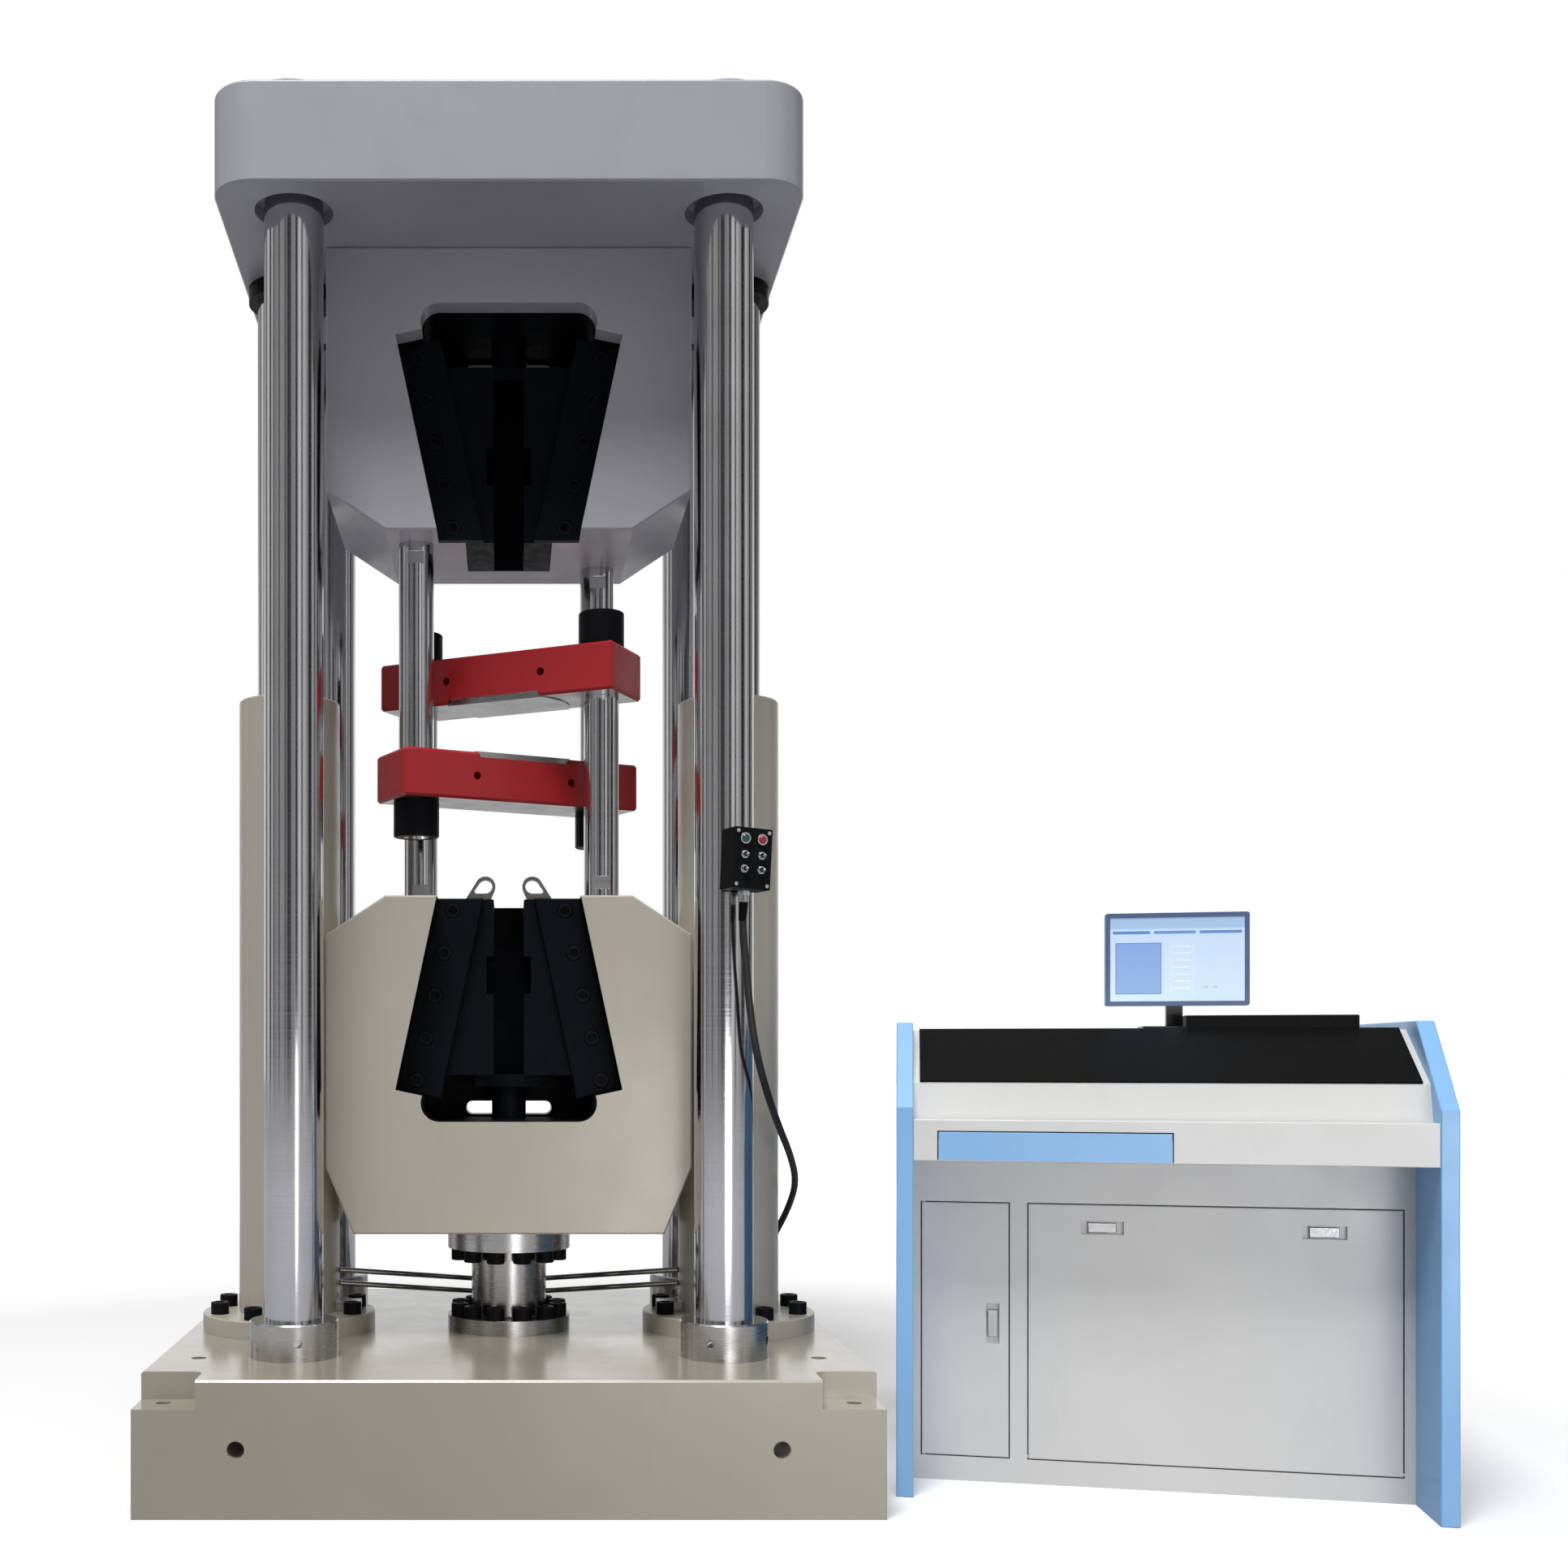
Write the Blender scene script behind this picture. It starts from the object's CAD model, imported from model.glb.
"""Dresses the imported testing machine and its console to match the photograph."""

import math
from functools import partial

import bmesh
import bpy
from mathutils import Matrix, Vector


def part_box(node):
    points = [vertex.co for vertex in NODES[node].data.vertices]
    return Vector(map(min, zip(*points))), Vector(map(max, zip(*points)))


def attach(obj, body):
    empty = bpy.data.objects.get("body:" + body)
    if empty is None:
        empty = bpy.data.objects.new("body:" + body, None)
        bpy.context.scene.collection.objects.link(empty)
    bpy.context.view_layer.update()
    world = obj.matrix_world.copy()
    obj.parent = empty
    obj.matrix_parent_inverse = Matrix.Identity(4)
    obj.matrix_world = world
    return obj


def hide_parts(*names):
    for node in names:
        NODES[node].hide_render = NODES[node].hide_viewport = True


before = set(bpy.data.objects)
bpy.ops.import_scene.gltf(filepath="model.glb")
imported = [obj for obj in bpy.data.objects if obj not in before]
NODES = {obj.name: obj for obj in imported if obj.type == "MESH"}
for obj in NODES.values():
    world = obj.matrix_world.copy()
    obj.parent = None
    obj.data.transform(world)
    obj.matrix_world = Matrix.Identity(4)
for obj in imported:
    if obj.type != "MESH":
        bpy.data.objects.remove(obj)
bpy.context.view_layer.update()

# Metres, +Z up, the front is -Y, as in part.py
MM = 0.001

# The photograph: its width, its focal length and the point straight ahead of
# the camera, all in its pixels
PHOTO_WIDTH = 1932.0
PHOTO_FOCAL = 2130.0
AHEAD_X = 627.0
AHEAD_Y = 1298.0
SENSOR_WIDTH = 36.0
CAMERA_PLACE = (0.0, -3.551, 0.802)


def make_camera():
    """The photograph's level camera, whose shift frames the machine"""
    data = bpy.data.cameras.new("camera")
    data.sensor_width = SENSOR_WIDTH
    data.lens = SENSOR_WIDTH * PHOTO_FOCAL / PHOTO_WIDTH
    data.shift_x = (PHOTO_WIDTH / 2 - AHEAD_X) / PHOTO_WIDTH
    data.shift_y = (AHEAD_Y - PHOTO_WIDTH / 2) / PHOTO_WIDTH
    camera = bpy.data.objects.new("camera", data)
    camera.location = CAMERA_PLACE
    camera.rotation_euler = (math.pi / 2, 0, 0)
    bpy.context.scene.collection.objects.link(camera)
    bpy.context.scene.camera = camera


make_camera()
bpy.context.scene.view_settings.view_transform = "Standard"


# Stretches of the object's coordinates, on X, Y and Z: even in all directions,
# drawn out round a turned piece, and drawn out down a wall
EVENLY = (1.0, 1.0, 1.0)
ROUND_Z = (0.02, 0.02, 1.0)
DOWN_Z = (1.0, 1.0, 0.25)

# A noise texture's detail and roughness where a finish names none
NOISE_DETAIL = 3.0
NOISE_ROUGH = 0.55

# How many rays round a corner
BEVEL_SAMPLES = 4


# Node helpers
def add(tree, kind, inputs=None, **settings):
    """Add a node; an input given as a socket is linked to it"""
    node = tree.nodes.new(kind)
    for name, value in settings.items():
        setattr(node, name, value)
    for name, value in (inputs or {}).items():
        if isinstance(value, bpy.types.NodeSocket):
            tree.links.new(value, node.inputs[name])
        else:
            node.inputs[name].default_value = value
    return node


def maths(tree, operation, first, second=0.0, third=0.0):
    """One Math node's result"""
    inputs = {0: first, 1: second, 2: third}
    return add(tree, "ShaderNodeMath", inputs, operation=operation).outputs[0]


def mix_colour(tree, share, first, second, blend="MIX"):
    """One colour mixed into another by a share"""
    inputs = {0: share, 6: first, 7: second}
    node = add(tree, "ShaderNodeMix", inputs, data_type="RGBA", blend_type=blend)
    return node.outputs[2]


def object_place(tree, stretch=EVENLY):
    """The point on the object, in the row frame, stretched by a factor on each axis"""
    coords = add(tree, "ShaderNodeTexCoord").outputs["Object"]
    if stretch == EVENLY:
        return coords
    return add(tree, "ShaderNodeMapping", {"Vector": coords, "Scale": stretch}).outputs[0]


def noise(tree, scale, detail=NOISE_DETAIL, rough=NOISE_ROUGH, stretch=EVENLY):
    """Noise from 0 to 1"""
    inputs = {"Vector": object_place(tree, stretch), "Scale": scale, "Detail": detail,
              "Roughness": rough}
    return add(tree, "ShaderNodeTexNoise", inputs).outputs["Fac"]


def spread(tree, value, low, high, from_low=0.0, from_high=1.0):
    """A value carried from one range to another and held inside it"""
    inputs = {"Value": value, "From Min": from_low, "From Max": from_high,
              "To Min": low, "To Max": high}
    return add(tree, "ShaderNodeMapRange", inputs).outputs[0]


def rgba(colour, factor=1.0):
    """A colour with full alpha, made darker or paler by a factor"""
    return tuple(min(1.0, c * factor) for c in colour) + (1.0,)


def rounded_corners(tree, radius):
    """The surface's direction, as if its corners were rounded"""
    return add(tree, "ShaderNodeBevel", {"Radius": radius}, samples=BEVEL_SAMPLES).outputs[0]


def bump(tree, shader, height, distance, strength, edge=0.0):
    """Raise the surface by a height; an edge radius rounds its corners"""
    inputs = {"Height": height, "Distance": distance, "Strength": strength}
    if edge:
        inputs["Normal"] = rounded_corners(tree, edge)
    tree.links.new(add(tree, "ShaderNodeBump", inputs).outputs[0], shader.inputs["Normal"])


def both(tree, first, second):
    """The product of two masks, or of two shares"""
    return maths(tree, "MULTIPLY", first, second)


def above(tree, value, limit):
    """One where a value is above a limit"""
    return maths(tree, "GREATER_THAN", value, limit)


def below(tree, value, limit):
    """One where a value is below a limit"""
    return maths(tree, "LESS_THAN", value, limit)


def place_parts(tree):
    """X, Y and Z on the object, in the row frame"""
    node = add(tree, "ShaderNodeSeparateXYZ", {0: object_place(tree)})
    return node.outputs["X"], node.outputs["Y"], node.outputs["Z"]


# Finishes. Each noise is a pair of scale and detail; each cut is the part of a
# noise that is spread over the whole range of what it drives
MIDDLE = (0.3, 0.7)

PAINT_PATCHES = (2.3, 5.0)
PAINT_TONES = (0.94, 1.04)
PAINT_SMEARS = (9.0, 6.0)
PAINT_SMEAR_ROUGH = 0.7
PAINT_SMEAR_CUT = (0.58, 0.8)
PAINT_SMEAR_SHARE = 0.35
PAINT_SMEAR_TONE = 0.86
PAINT_GLOSS = (14.0, 4.0)
PAINT_DULLER = (-0.05, 0.09)
PAINT_COAT_ROUGH = 0.18
PAINT_PEEL = (420.0, 2.0)
PAINT_PEEL_DEPTH = 0.06 * MM
PAINT_PEEL_STRENGTH = 0.5


def patchy(tree, texture, low, high, cut=MIDDLE):
    """A value that wanders between two others over the surface"""
    return spread(tree, noise(tree, *texture), low, high, *cut)


def tint(tree, shader, colour):
    """Give a shader its colour from a socket"""
    tree.links.new(colour, shader.inputs["Base Color"])


def dull(tree, shader, roughness):
    """Give a shader its roughness from a socket"""
    tree.links.new(roughness, shader.inputs["Roughness"])


def dull_around(tree, shader, texture, rough, change):
    """A roughness that wanders round a value, by how much it falls and rises"""
    fall, rise = change
    dull(tree, shader, patchy(tree, texture, rough + fall, rough + rise))


def two_tones(colour, tones):
    """A colour made darker and paler by two factors"""
    return [rgba(colour, factor) for factor in tones]


def paint(tree, shader, colour, rough=0.36, coat=0.25, edge=1.2 * MM):
    """Sprayed machine paint: faint orange peel, uneven tone, handled corners"""
    base = mix_colour(tree, patchy(tree, PAINT_PATCHES, 0.0, 1.0), *two_tones(colour, PAINT_TONES))
    streaks = noise(tree, *PAINT_SMEARS, PAINT_SMEAR_ROUGH, DOWN_Z)
    smears = spread(tree, streaks, 0.0, PAINT_SMEAR_SHARE, *PAINT_SMEAR_CUT)
    tint(tree, shader, mix_colour(tree, smears, base, rgba(colour, PAINT_SMEAR_TONE)))
    dull_around(tree, shader, PAINT_GLOSS, rough, PAINT_DULLER)
    shader.inputs["Coat Weight"].default_value = coat
    shader.inputs["Coat Roughness"].default_value = PAINT_COAT_ROUGH
    bump(tree, shader, noise(tree, *PAINT_PEEL), PAINT_PEEL_DEPTH, PAINT_PEEL_STRENGTH, edge)


METAL_MARK_ROUGH = 0.6
METAL_PATCHES = (5.0, 4.0)
METAL_PATCH_CUT = (0.35, 0.65)
METAL_DULLER = (0.75, 1.35)
METAL_STRENGTH = 0.6
METAL_EDGE = 0.6 * MM


def metal(tree, shader, colour, rough, lines, stretch, depth=0.02 * MM, tarnish=0.85):
    """Bare metal with fine machining lines, drawn out along one axis"""
    marks = noise(tree, lines, NOISE_DETAIL, METAL_MARK_ROUGH, stretch)
    patches = patchy(tree, METAL_PATCHES, 0.0, 1.0, METAL_PATCH_CUT)
    tint(tree, shader, mix_colour(tree, patches, rgba(colour, tarnish), rgba(colour)))
    shader.inputs["Metallic"].default_value = 1.0
    smooth, rougher = METAL_DULLER
    dull(tree, shader, spread(tree, marks, rough * smooth, rough * rougher, *MIDDLE))
    bump(tree, shader, marks, depth, METAL_STRENGTH, METAL_EDGE)


# Black finishes mirror little, so that the pale floor doesn't turn them grey
DARK_IOR = 1.15

OXIDE_WORN = (0.10, 0.10, 0.11, 1.0)
OXIDE_EDGE = 0.6 * MM
OXIDE_CORNER_CUT = (0.86, 0.99)
OXIDE_WEAR = (60.0, 5.0)
OXIDE_WEAR_CUT = (0.4, 0.62)
OXIDE_PATCHES = (12.0, 4.0)
OXIDE_TONES = (0.7, 1.35)
OXIDE_GLOSS = (35.0, 4.0)
OXIDE_DULLER = (-0.07, 0.1)
OXIDE_GRAIN = (260.0, 3.0)
OXIDE_DEPTH = 0.05 * MM
OXIDE_STRENGTH = 0.6


def black_oxide(tree, shader, colour, rough, wear=0.4):
    """Blackened steel: nearly black, oily, with paler worn corners"""
    facing = add(tree, "ShaderNodeNewGeometry").outputs["Normal"]
    inputs = {0: rounded_corners(tree, 2 * OXIDE_EDGE), 1: facing}
    agree = add(tree, "ShaderNodeVectorMath", inputs, operation="DOT_PRODUCT").outputs["Value"]
    worn = spread(tree, agree, wear, 0.0, *OXIDE_CORNER_CUT)
    worn = both(tree, worn, patchy(tree, OXIDE_WEAR, 0.0, 1.0, OXIDE_WEAR_CUT))
    tone = mix_colour(tree, noise(tree, *OXIDE_PATCHES), *two_tones(colour, OXIDE_TONES))
    tint(tree, shader, mix_colour(tree, worn, tone, OXIDE_WORN))
    shader.inputs["IOR"].default_value = DARK_IOR
    dull_around(tree, shader, OXIDE_GLOSS, rough, OXIDE_DULLER)
    bump(tree, shader, noise(tree, *OXIDE_GRAIN), OXIDE_DEPTH, OXIDE_STRENGTH, OXIDE_EDGE)


PLASTIC_IOR = 1.45
PLASTIC_PATCHES = (30.0, 3.0)
PLASTIC_TONES = (0.9, 1.1)
PLASTIC_GLOSS = (80.0, 3.0)
PLASTIC_DULLER = (-0.04, 0.06)
PLASTIC_GRAIN = 900.0
PLASTIC_GRAIN_DETAIL = 2.0
PLASTIC_STRENGTH = 0.5
PLASTIC_EDGE = 0.5 * MM


def plastic(tree, shader, colour, rough, grain=PLASTIC_GRAIN, depth=0.05 * MM, ior=PLASTIC_IOR):
    """Moulded plastic with a fine grain"""
    shader.inputs["IOR"].default_value = ior
    patches = noise(tree, *PLASTIC_PATCHES)
    tint(tree, shader, mix_colour(tree, patches, *two_tones(colour, PLASTIC_TONES)))
    dull_around(tree, shader, PLASTIC_GLOSS, rough, PLASTIC_DULLER)
    height = noise(tree, grain, PLASTIC_GRAIN_DETAIL)
    bump(tree, shader, height, depth, PLASTIC_STRENGTH, PLASTIC_EDGE)


def finish(name, fill, over=None, make_mask=None):
    """A material of one finish; a second one shows where a mask is one"""
    material = bpy.data.materials.new(name)
    material.use_nodes = True
    tree = material.node_tree
    tree.nodes.clear()
    surface = add(tree, "ShaderNodeBsdfPrincipled")
    fill(tree, surface)
    if over:
        top = add(tree, "ShaderNodeBsdfPrincipled")
        over(tree, top)
        inputs = {0: make_mask(tree), 1: surface.outputs[0], 2: top.outputs[0]}
        surface = add(tree, "ShaderNodeMixShader", inputs)
    add(tree, "ShaderNodeOutputMaterial", {0: surface.outputs[0]})
    return material


def dress(material, *nodes):
    """Give CAD nodes a material"""
    for name in nodes:
        data = NODES[name].data
        data.materials.clear()
        data.materials.append(material)


# The jaw pockets, whose walls are oiled black: the slope of the wedge, its half
# width at the mouth, how deep it goes, and its front and back on Y. The upper
# pocket's walls are black only from further back
WEDGE_SLOPE = math.tan(math.radians(12.0))
MOUTH_HALF = 140.5 * MM
POCKET_DEPTH = 441.5 * MM
POCKET_FRONT = -196.4 * MM
UPPER_POCKET_FRONT = -150.0 * MM
POCKET_BACK = 97.5 * MM
MOUTH_RIM = 0.5 * MM


def pocket_mask(mouth, inward, front):
    """A mask of the walls inside a jaw pocket; inward is the sign of the way in"""
    def make(tree):
        x, y, z = place_parts(tree)
        depth = maths(tree, "MULTIPLY", maths(tree, "SUBTRACT", z, mouth), inward)
        half = maths(tree, "MULTIPLY_ADD", depth, WEDGE_SLOPE, MOUTH_HALF)
        inside = below(tree, maths(tree, "SUBTRACT", maths(tree, "ABSOLUTE", x), half), 0.0)
        deep = both(tree, above(tree, depth, MOUTH_RIM), below(tree, depth, POCKET_DEPTH))
        middle = both(tree, above(tree, y, front), below(tree, y, POCKET_BACK))
        return both(tree, inside, both(tree, deep, middle))
    return make


# Where the console stands and how far it is turned, as in part.py, and the lit
# screen of its monitor in the console's own frame: its middle and half width,
# its bottom and top, and how far back its face reaches
CONSOLE_X = 1.154
CONSOLE_Y = -0.528
CONSOLE_TURN = math.radians(13.0)
SCREEN_MIDDLE = 0.056
SCREEN_HALF = 0.121
SCREEN_BOTTOM = 0.902
SCREEN_TOP = 1.062
SCREEN_BEHIND = 0.300


def console_parts(tree):
    """X, Y and Z on the object, in the console's own frame"""
    x, y, z = place_parts(tree)
    x = maths(tree, "SUBTRACT", x, CONSOLE_X)
    y = maths(tree, "SUBTRACT", y, CONSOLE_Y)
    cosine = math.cos(CONSOLE_TURN)
    sine = math.sin(CONSOLE_TURN)
    across = maths(tree, "MULTIPLY_ADD", y, -sine, maths(tree, "MULTIPLY", x, cosine))
    back = maths(tree, "MULTIPLY_ADD", y, cosine, maths(tree, "MULTIPLY", x, sine))
    return across, back, z


def screen_parts(tree):
    """How far along and up the screen a point lies, each from 0 to 1"""
    across, back, z = console_parts(tree)
    left = SCREEN_MIDDLE - SCREEN_HALF
    along = maths(tree, "DIVIDE", maths(tree, "SUBTRACT", across, left), 2 * SCREEN_HALF)
    height = SCREEN_TOP - SCREEN_BOTTOM
    up = maths(tree, "DIVIDE", maths(tree, "SUBTRACT", z, SCREEN_BOTTOM), height)
    return along, up, back


def oblong(tree, along, up, left, right, low, high):
    """A mask of an oblong on the screen"""
    wide = both(tree, above(tree, along, left), below(tree, along, right))
    return both(tree, wide, both(tree, above(tree, up, low), below(tree, up, high)))


def screen_mask(tree):
    """A mask of the lit face inside the bezel"""
    along, up, back = screen_parts(tree)
    lit = oblong(tree, along, up, 0.0, 1.0, 0.0, 1.0)
    return both(tree, lit, below(tree, back, SCREEN_BEHIND))


# What the screen shows, without words: each oblong's left, right, low, high
# edges as shares of the screen, and its colour
SCREEN_PALE = (0.54, 0.68, 0.78, 1.0)
SCREEN_GLOW = 0.32
SCREEN_OBLONGS = (
    (0.00, 1.00, 0.880, 1.00, (0.36, 0.52, 0.64, 1.0)),
    (0.00, 1.00, 0.865, 0.88, (0.36, 0.55, 0.72, 1.0)),
    (0.02, 0.30, 0.805, 0.84, (0.10, 0.23, 0.42, 1.0)),
    (0.33, 0.64, 0.805, 0.84, (0.13, 0.27, 0.46, 1.0)),
    (0.67, 0.98, 0.805, 0.84, (0.11, 0.25, 0.44, 1.0)),
    (0.04, 0.385, 0.085, 0.700, (0.10, 0.22, 0.42, 1.0)),
    (0.046, 0.379, 0.095, 0.690, (0.22, 0.37, 0.62, 1.0)),
    (0.455, 0.465, 0.10, 0.69, (0.60, 0.72, 0.82, 1.0)),
    (0.615, 0.625, 0.10, 0.69, (0.60, 0.72, 0.82, 1.0)),
    (0.700, 0.770, 0.55, 0.575, (0.45, 0.74, 0.88, 1.0)),
    (0.700, 0.780, 0.38, 0.400, (0.55, 0.68, 0.80, 1.0)),
    (0.700, 0.730, 0.15, 0.180, (0.40, 0.55, 0.70, 1.0)),
    (0.770, 0.800, 0.15, 0.180, (0.40, 0.55, 0.70, 1.0)))
# The table's edges as above, its rows and the upper share of each that shows
TABLE_EDGES = (0.48, 0.60, 0.12, 0.68)
TABLE_TONE = (0.66, 0.77, 0.86, 1.0)
TABLE_ROWS = 12.0
ROW_START = 0.75
# Red and green fade to this from the bottom to the top
SCREEN_FADE = 0.86
SCREEN_ROUGH = 0.35


def screen_picture(tree, shader):
    """A lit window of plain bars, a chart box and a table, with no words in it"""
    along, up, _ = screen_parts(tree)
    colour = SCREEN_PALE
    for left, right, low, high, tone in SCREEN_OBLONGS:
        colour = mix_colour(tree, oblong(tree, along, up, left, right, low, high), colour, tone)
    row = maths(tree, "FRACT", maths(tree, "MULTIPLY", up, TABLE_ROWS))
    table = both(tree, above(tree, row, ROW_START), oblong(tree, along, up, *TABLE_EDGES))
    colour = mix_colour(tree, table, colour, TABLE_TONE)
    fade = spread(tree, up, 1.0, SCREEN_FADE)
    bluer = add(tree, "ShaderNodeCombineColor", {0: fade, 1: fade, 2: 1.0}).outputs[0]
    colour = mix_colour(tree, 1.0, colour, bluer, "MULTIPLY")
    tint(tree, shader, colour)
    tree.links.new(colour, shader.inputs["Emission Color"])
    shader.inputs["Emission Strength"].default_value = SCREEN_GLOW
    shader.inputs["Roughness"].default_value = SCREEN_ROUGH


# The rods' black shoulders begin at this height; a face looks down where the Z
# of its direction is below the limit
SHOULDER_BOTTOM = 2335.5 * MM
DOWN_LIMIT = -0.95


def shoulder_mask(tree):
    """A mask of the rods' shoulders under the beam"""
    return above(tree, place_parts(tree)[2], SHOULDER_BOTTOM)


def underside_mask(tree):
    """A mask of the faces that look down"""
    normal = add(tree, "ShaderNodeNewGeometry").outputs["True Normal"]
    upward = add(tree, "ShaderNodeSeparateXYZ", {0: normal}).outputs["Z"]
    return below(tree, upward, DOWN_LIMIT)


# Colours, as linear values
WARM = (0.450, 0.412, 0.348)
WARM_BASE = (0.350, 0.324, 0.258)
COOL = (0.352, 0.349, 0.388)
COOL_BLOCK = (0.440, 0.432, 0.465)
SHEET = (0.620, 0.616, 0.606)
BLUE = (0.205, 0.430, 0.730)
RED = (0.400, 0.010, 0.015)
BRIGHT = (0.56, 0.56, 0.575)
STEEL = (0.50, 0.49, 0.475)
DARK_STEEL = (0.22, 0.215, 0.21)
SATIN = (0.40, 0.40, 0.41)
BLACK = (0.006, 0.0065, 0.008)
OILED = (0.0032, 0.0042, 0.0062)
BOX_BLACK = (0.006, 0.0065, 0.007)
STAND_BLACK = (0.02, 0.02, 0.024)
PANEL_BLACK = (0.004, 0.004, 0.004)
CORD_BLACK = (0.012, 0.012, 0.013)
BEZEL_BLUE = (0.085, 0.14, 0.27)
BUTTON_GREEN = (0.015, 0.075, 0.065)
BUTTON_RED = (0.33, 0.02, 0.03)
PUMP_GREY = (0.20, 0.215, 0.23)

# What sets the finishes apart: their roughness, the weight of a clear coat, how
# far corners are rounded, the fineness and depth of machining lines or grain,
# how far tarnish darkens metal, and how pale worn corners grow
PAINT_ROUGH = 0.38
COOL_ROUGH = 0.42
SHEET_ROUGH = 0.40
GREY_ROUGH = 0.5
SHEET_COAT = 0.1
THIN_COAT = 0.15
BASE_COAT = 1.0
SHEET_EDGE = 0.8 * MM
TURNED_LINES = 700.0
TURNED_ROUGH = 0.24
TURNED_DEPTH = 0.008 * MM
POLISHED_LINES = 260.0
POLISHED_ROUGH = 0.13
POLISHED_DEPTH = 0.006 * MM
BRUSHED_LINES = 400.0
TRIM_ROUGH = 0.2
TRIM_DEPTH = 0.01 * MM
WIRE_ROUGH = 0.3
SATIN_ROUGH = 0.42
CLEAN_METAL = 0.9
STAINED_METAL = 0.8
OILED_ROUGH = 0.5
OILED_WEAR = 0.25
SHOULDER_ROUGH = 0.3
SCREW_ROUGH = 0.42
BOX_ROUGH = 0.5
GLOSSY_ROUGH = 0.22
GLOSSY_DEPTH = 0.01 * MM
PANEL_ROUGH = 0.4
CORD_ROUGH = 0.45
CORD_GRAIN = 500.0
CORD_GRAIN_DEPTH = 0.08 * MM

warm_coat = partial(paint, colour=WARM)
base_coat = partial(paint, colour=WARM_BASE, coat=BASE_COAT)
cool_coat = partial(paint, colour=COOL, rough=COOL_ROUGH)
block_coat = partial(cool_coat, colour=COOL_BLOCK)
red_coat = partial(paint, colour=RED, rough=PAINT_ROUGH, coat=THIN_COAT)
sheet_coat = partial(paint, colour=SHEET, rough=SHEET_ROUGH, coat=SHEET_COAT, edge=SHEET_EDGE)
blue_coat = partial(paint, colour=BLUE, rough=PAINT_ROUGH, coat=THIN_COAT, edge=SHEET_EDGE)
grey_coat = partial(paint, colour=PUMP_GREY, rough=GREY_ROUGH)
oiled = partial(black_oxide, colour=OILED, rough=OILED_ROUGH, wear=OILED_WEAR)
shoulder = partial(black_oxide, colour=BLACK, rough=SHOULDER_ROUGH)
blackened = partial(black_oxide, colour=BLACK, rough=SCREW_ROUGH)
turned = partial(metal, colour=STEEL, rough=TURNED_ROUGH, lines=TURNED_LINES, stretch=ROUND_Z,
                 depth=TURNED_DEPTH, tarnish=STAINED_METAL)
polished = partial(metal, colour=BRIGHT, rough=POLISHED_ROUGH, lines=POLISHED_LINES,
                   stretch=ROUND_Z, depth=POLISHED_DEPTH, tarnish=CLEAN_METAL)
brushed = partial(metal, lines=BRUSHED_LINES, stretch=EVENLY)
trim = partial(brushed, colour=BRIGHT, rough=TRIM_ROUGH, depth=TRIM_DEPTH, tarnish=CLEAN_METAL)
dull_wire = partial(brushed, colour=DARK_STEEL, rough=WIRE_ROUGH)
satin = partial(brushed, colour=SATIN, rough=SATIN_ROUGH)
glossy = partial(plastic, rough=GLOSSY_ROUGH, depth=GLOSSY_DEPTH)
box_plastic = partial(plastic, colour=BOX_BLACK, rough=BOX_ROUGH, ior=DARK_IOR)
panel_plastic = partial(glossy, colour=PANEL_BLACK, rough=PANEL_ROUGH, ior=DARK_IOR)
rubber = partial(plastic, colour=CORD_BLACK, rough=CORD_ROUGH, grain=CORD_GRAIN,
                 depth=CORD_GRAIN_DEPTH)

lower_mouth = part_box("lower_grip_block")[1].z
upper_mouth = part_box("upper_grip_block")[0].z
lower_pocket = pocket_mask(lower_mouth, -1.0, POCKET_FRONT)
upper_pocket = pocket_mask(upper_mouth, 1.0, UPPER_POCKET_FRONT)

base_paint = finish("base_paint", base_coat)
tube_paint = finish("tube_paint", warm_coat)
cool_paint = finish("cool_paint", cool_coat)
lower_block_paint = finish("lower_block_paint", warm_coat, oiled, lower_pocket)
upper_block_paint = finish("upper_block_paint", block_coat, oiled, upper_pocket)
red_paint = finish("red_paint", red_coat, turned, underside_mask)
sheet_paint = finish("sheet_paint", sheet_coat)
blue_paint = finish("blue_paint", blue_coat)
chrome = finish("chrome", polished)
rod_chrome = finish("rod_chrome", polished, shoulder, shoulder_mask)
satin_steel = finish("satin_steel", satin)
turned_steel = finish("turned_steel", turned)
bright_trim = finish("bright_trim", trim)
wire_steel = finish("wire_steel", dull_wire)
black_steel = finish("black_steel", blackened)
jaw_steel = finish("jaw_steel", oiled)
black_plastic = finish("black_plastic", box_plastic)
stand_plastic = finish("stand_plastic", partial(glossy, colour=STAND_BLACK))
monitor_plastic = finish("monitor_plastic", partial(glossy, colour=BEZEL_BLUE), screen_picture,
                         screen_mask)
green_plastic = finish("green_plastic", partial(glossy, colour=BUTTON_GREEN))
red_plastic = finish("red_plastic", partial(glossy, colour=BUTTON_RED))
panel_gloss = finish("panel_gloss", panel_plastic)
machine_grey = finish("machine_grey", grey_coat)
cord_rubber = finish("cord_rubber", rubber)

dress(base_paint, "base_block")
dress(tube_paint, "cylinder_tubes")
dress(cool_paint, "top_beam", "guide_bushes")
dress(lower_block_paint, "lower_grip_block")
dress(upper_block_paint, "upper_grip_block")
dress(red_paint, "upper_press_beam", "lower_press_beam")
dress(rod_chrome, "piston_rods")
dress(chrome, "main_columns", "hanging_ties", "standing_ties", "oil_pipes")
dress(turned_steel, "column_collars", "load_cell", "upper_platen", "lower_platen",
      "cylinder_glands", "oil_manifold")
dress(black_steel, "flange_screws", "lower_cover_screws", "upper_cover_screws",
      "hanging_nuts", "standing_nuts")
dress(jaw_steel, "lower_cover_plates", "upper_cover_plates", "lower_yoke", "upper_yoke",
      "lower_jaw_left", "lower_jaw_right", "upper_jaw_left", "upper_jaw_right")
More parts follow.
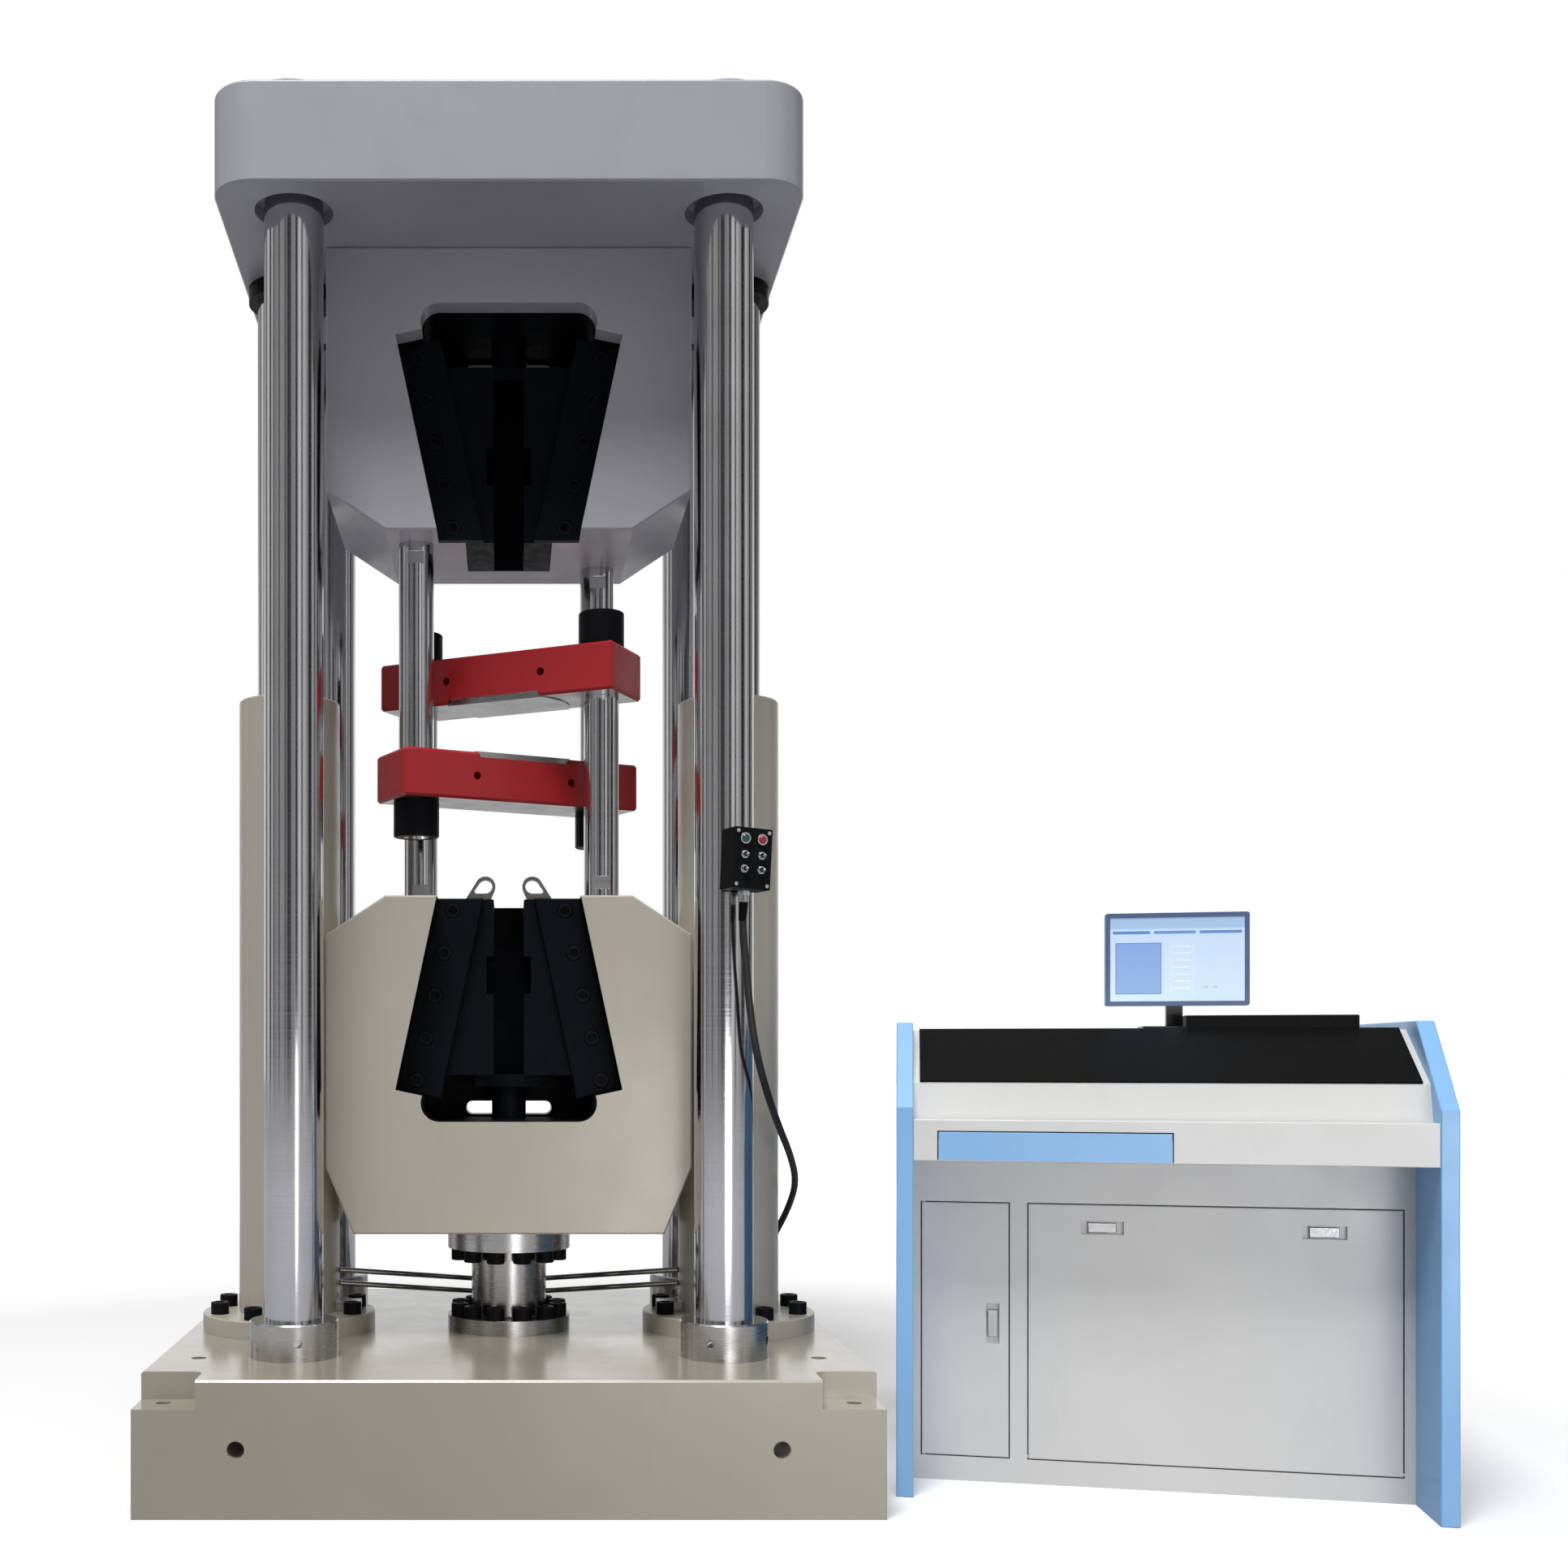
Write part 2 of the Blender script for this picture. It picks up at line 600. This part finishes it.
dress(wire_steel, "lower_handle_left", "lower_handle_right")
dress(bright_trim, "pendant_hardware", "pendant_gland", "toggle_1", "toggle_2", "toggle_3",
      "toggle_4")
dress(satin_steel, "small_latch", "large_latch_left", "large_latch_right")
dress(black_plastic, "pendant_box", "pendant_lid", "junction_box")
dress(green_plastic, "green_button")
dress(red_plastic, "red_button")
dress(blue_paint, "console_sides", "console_drawer")
dress(sheet_paint, "console_cabinet", "console_desk", "console_housing", "small_door",
      "large_door")
dress(panel_gloss, "instrument_panel")
dress(stand_plastic, "monitor_stand")
dress(monitor_plastic, "monitor_head")
dress(machine_grey, "power_pack")
dress(cord_rubber, "pendant_cord")

# Round faces of the CAD nodes shade smoothly up to this angle
SMOOTH_ANGLE = math.radians(32.0)
for node in NODES.values():
    node.data.set_sharp_from_angle(angle=SMOOTH_ANGLE)


# The pendant's cord follows part.py's own route points, in metres; its sides,
# its steps between two points and its order set how smooth the curve is
CORD_RADIUS = 7.0 * MM
CORD_ROUNDNESS = 5
CORD_STEPS = 16
CORD_ORDER = 3
CORD_POINTS = (
    (0.42528, -0.41525, 1.07611), (0.42312, -0.41604, 1.03217), (0.431, -0.412, 0.959),
    (0.439, -0.402, 0.879), (0.4515, -0.400, 0.800), (0.479, -0.345, 0.728),
    (0.517, -0.240, 0.662), (0.5585, -0.125, 0.600), (0.590, -0.005, 0.540),
    (0.592, 0.098, 0.480), (0.575, 0.178, 0.415), (0.550, 0.240, 0.348),
    (0.530, 0.290, 0.294), (0.518, 0.347, 0.262), (0.515, 0.413, 0.254),
    (0.515, 0.457, 0.254))


def put(name, data, material):
    """An object in the scene with one material"""
    made = bpy.data.objects.new(name, data)
    bpy.context.scene.collection.objects.link(made)
    data.materials.append(material)
    return made


def pendant_cord():
    """The round rubber cord from the pendant to the box on the base"""
    curve = bpy.data.curves.new("pendant_lead", "CURVE")
    curve.dimensions = "3D"
    curve.bevel_depth = CORD_RADIUS
    curve.bevel_resolution = CORD_ROUNDNESS
    curve.resolution_u = CORD_STEPS
    curve.use_fill_caps = True
    spline = curve.splines.new("NURBS")
    spline.points.add(len(CORD_POINTS) - 1)
    for point, place in zip(spline.points, CORD_POINTS):
        point.co = (*place, 1.0)
    spline.order_u = CORD_ORDER
    spline.use_endpoint_u = True
    made = put("pendant_lead", curve, cord_rubber)
    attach(made, "frame")
    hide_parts("pendant_cord")
    return made


# The ribbed sleeve below the gland: each ring's profile gives how far along the
# ring a point lies and how much it steps in
RELIEF_LENGTH = 34.0 * MM
RELIEF_RINGS = 8
RELIEF_SIDES = 40
RELIEF_WIDE = 8.9 * MM
RELIEF_NARROW = 7.35 * MM
RELIEF_STEP = 0.6 * MM
RELIEF_PROFILE = ((0.0, 0.0), (0.45, 0.0), (0.55, RELIEF_STEP), (0.95, RELIEF_STEP))


def turned_piece(name, outline, start, away, material):
    """A turned piece along a line from start; outline gives (distance, radius) pairs"""
    mesh = bpy.data.meshes.new(name)
    shape = bmesh.new()
    loops = []
    for distance, radius in outline:
        loop = []
        for side in range(RELIEF_SIDES):
            angle = math.tau * side / RELIEF_SIDES
            place = (radius * math.cos(angle), radius * math.sin(angle), distance)
            loop.append(shape.verts.new(place))
        loops.append(loop)
    for first, second in zip(loops, loops[1:]):
        for side in range(RELIEF_SIDES):
            after = (side + 1) % RELIEF_SIDES
            shape.faces.new((first[side], first[after], second[after], second[side]))
    shape.faces.new(list(reversed(loops[0])))
    shape.faces.new(loops[-1])
    turn = Vector((0, 0, 1)).rotation_difference(away).to_matrix().to_4x4()
    shape.transform(Matrix.Translation(start) @ turn)
    for face in shape.faces:
        face.smooth = len(face.verts) == 4
    shape.to_mesh(mesh)
    shape.free()
    return put(name, mesh, material)


def strain_relief():
    """The ribbed rubber sleeve that tapers down the cord below its gland"""
    start = Vector(CORD_POINTS[0])
    away = (Vector(CORD_POINTS[1]) - start).normalized()
    outline = []
    for ring in range(RELIEF_RINGS):
        share = ring / RELIEF_RINGS
        radius = RELIEF_WIDE + share * (RELIEF_NARROW - RELIEF_WIDE)
        for part, step in RELIEF_PROFILE:
            outline.append(((share + part / RELIEF_RINGS) * RELIEF_LENGTH, radius - step))
    made = turned_piece("strain_relief", outline, start, away, black_plastic)
    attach(made, "frame")
    return made


lead = pendant_cord()
relief = strain_relief()


# The floor looks white but throws little light upward, as a workshop floor does.
# Its half width; its colour where it is seen and where it lights the object; the
# share of the first that metal mirrors; its finish; and the distances from the
# middle between which it fades to white
FLOOR_HALF = 40.0
FLOOR_SEEN = (0.93, 0.93, 0.93, 1.0)
FLOOR_BOUNCE = (0.335, 0.34, 0.365, 1.0)
FLOOR_MIRRORED = 0.25
FLOOR_ROUGH = 0.7
FLOOR_SHINE = 0.1
FADE_START = 2.2
FADE_END = 6.0


def seen_share(tree):
    """One for what the camera sees, also through glass, and less for what metal mirrors"""
    path = add(tree, "ShaderNodeLightPath")
    mirrored = maths(tree, "MULTIPLY", path.outputs["Is Glossy Ray"], FLOOR_MIRRORED)
    seen = maths(tree, "MAXIMUM", path.outputs["Is Camera Ray"], mirrored)
    return maths(tree, "MAXIMUM", seen, path.outputs["Is Transmission Ray"])


def make_floor():
    """A pale floor that takes the object's shadow and grows white far away"""
    mesh = bpy.data.meshes.new("floor")
    corners = [(x * FLOOR_HALF, y * FLOOR_HALF, 0.0)
               for x, y in ((-1, -1), (1, -1), (1, 1), (-1, 1))]
    mesh.from_pydata(corners, [], [tuple(range(len(corners)))])
    material = bpy.data.materials.new("floor")
    material.use_nodes = True
    tree = material.node_tree
    tree.nodes.clear()
    seen = seen_share(tree)
    tone = mix_colour(tree, seen, FLOOR_BOUNCE, FLOOR_SEEN)
    shader = add(tree, "ShaderNodeBsdfPrincipled", {"Base Color": tone, "Roughness": FLOOR_ROUGH})
    shader.inputs["Specular IOR Level"].default_value = FLOOR_SHINE
    away = add(tree, "ShaderNodeVectorMath", {0: object_place(tree)}, operation="LENGTH")
    far = spread(tree, away.outputs["Value"], 0.0, 1.0, FADE_START, FADE_END)
    glow = add(tree, "ShaderNodeEmission", {"Strength": both(tree, far, seen)})
    whole = add(tree, "ShaderNodeAddShader", {0: shader.outputs[0], 1: glow.outputs[0]})
    add(tree, "ShaderNodeOutputMaterial", {0: whole.outputs[0]})
    put("floor", mesh, material)


# The room: its brightness to the camera and on the object, and what bare metal
# mirrors: dark and pale bands all round, and white low behind the object
WHITE = (1.0, 1.0, 1.0, 1.0)
WORLD_SEEN = 1.0
WORLD_SOFT = 0.36
ROOM_DARK = 0.02
ROOM_PALE = 0.85
ROOM_BANDS = 2.9
ROOM_DETAIL = 2.0
ROOM_CUT = (0.42, 0.62)
BEHIND_START = 0.55
BEHIND_END = 0.85
BEHIND_LOW = 0.2
BEHIND_TOP = 0.45


def make_world():
    """White to the camera, softer for the object's light, banded for its mirrors"""
    world = bpy.data.worlds.new("world")
    bpy.context.scene.world = world
    world.use_nodes = True
    tree = world.node_tree
    tree.nodes.clear()
    place = add(tree, "ShaderNodeTexCoord").outputs["Generated"]
    parts = add(tree, "ShaderNodeSeparateXYZ", {0: place})
    round_angle = maths(tree, "ARCTAN2", parts.outputs["X"], parts.outputs["Y"])
    inputs = {"W": round_angle, "Scale": ROOM_BANDS, "Detail": ROOM_DETAIL}
    bands = add(tree, "ShaderNodeTexNoise", inputs, noise_dimensions="1D").outputs["Fac"]
    room = spread(tree, bands, ROOM_DARK, ROOM_PALE, *ROOM_CUT)
    behind = spread(tree, parts.outputs["Y"], 0.0, 1.0, BEHIND_START, BEHIND_END)
    low = spread(tree, parts.outputs["Z"], 1.0, 0.0, BEHIND_LOW, BEHIND_TOP)
    room = maths(tree, "MAXIMUM", room, both(tree, behind, low))
    path = add(tree, "ShaderNodeLightPath")
    lit = add(tree, "ShaderNodeMix", {0: path.outputs["Is Glossy Ray"], 2: WORLD_SOFT, 3: room})
    through = path.outputs["Is Transmission Ray"]
    seen = maths(tree, "MAXIMUM", path.outputs["Is Camera Ray"], through)
    strength = add(tree, "ShaderNodeMix", {0: seen, 2: lit.outputs[0], 3: WORLD_SEEN})
    background = add(tree, "ShaderNodeBackground", {"Strength": strength.outputs[0]})
    background.inputs["Color"].default_value = WHITE
    add(tree, "ShaderNodeOutputWorld", {0: background.outputs[0]})


def area_lamp(name, place, target, size, watts, fan=math.pi):
    """A soft oblong lamp that faces a point, and how widely its light fans out"""
    data = bpy.data.lights.new(name, "AREA")
    data.shape = "RECTANGLE"
    data.size, data.size_y = size
    data.energy = watts
    data.spread = fan
    lamp = bpy.data.objects.new(name, data)
    lamp.location = place
    lamp.rotation_euler = (Vector(target) - Vector(place)).to_track_quat("-Z", "Y").to_euler()
    bpy.context.scene.collection.objects.link(lamp)


# The key stands high in front; the fill is low in front of the console and only
# lightens its doors. Each has its place, the point it faces, its size and watts
KEY = ((-1.1, -4.8, 11.5), (0.2, -0.1, 0.9), (4.0, 4.0), 1350.0)
FILL = ((1.50, -3.6, 0.3), (1.28, -0.4, 0.2), (2.2, 1.0), 4.0)
FILL_FAN = math.radians(45.0)

make_floor()
make_world()
area_lamp("key", *KEY)
area_lamp("fill", *FILL, FILL_FAN)
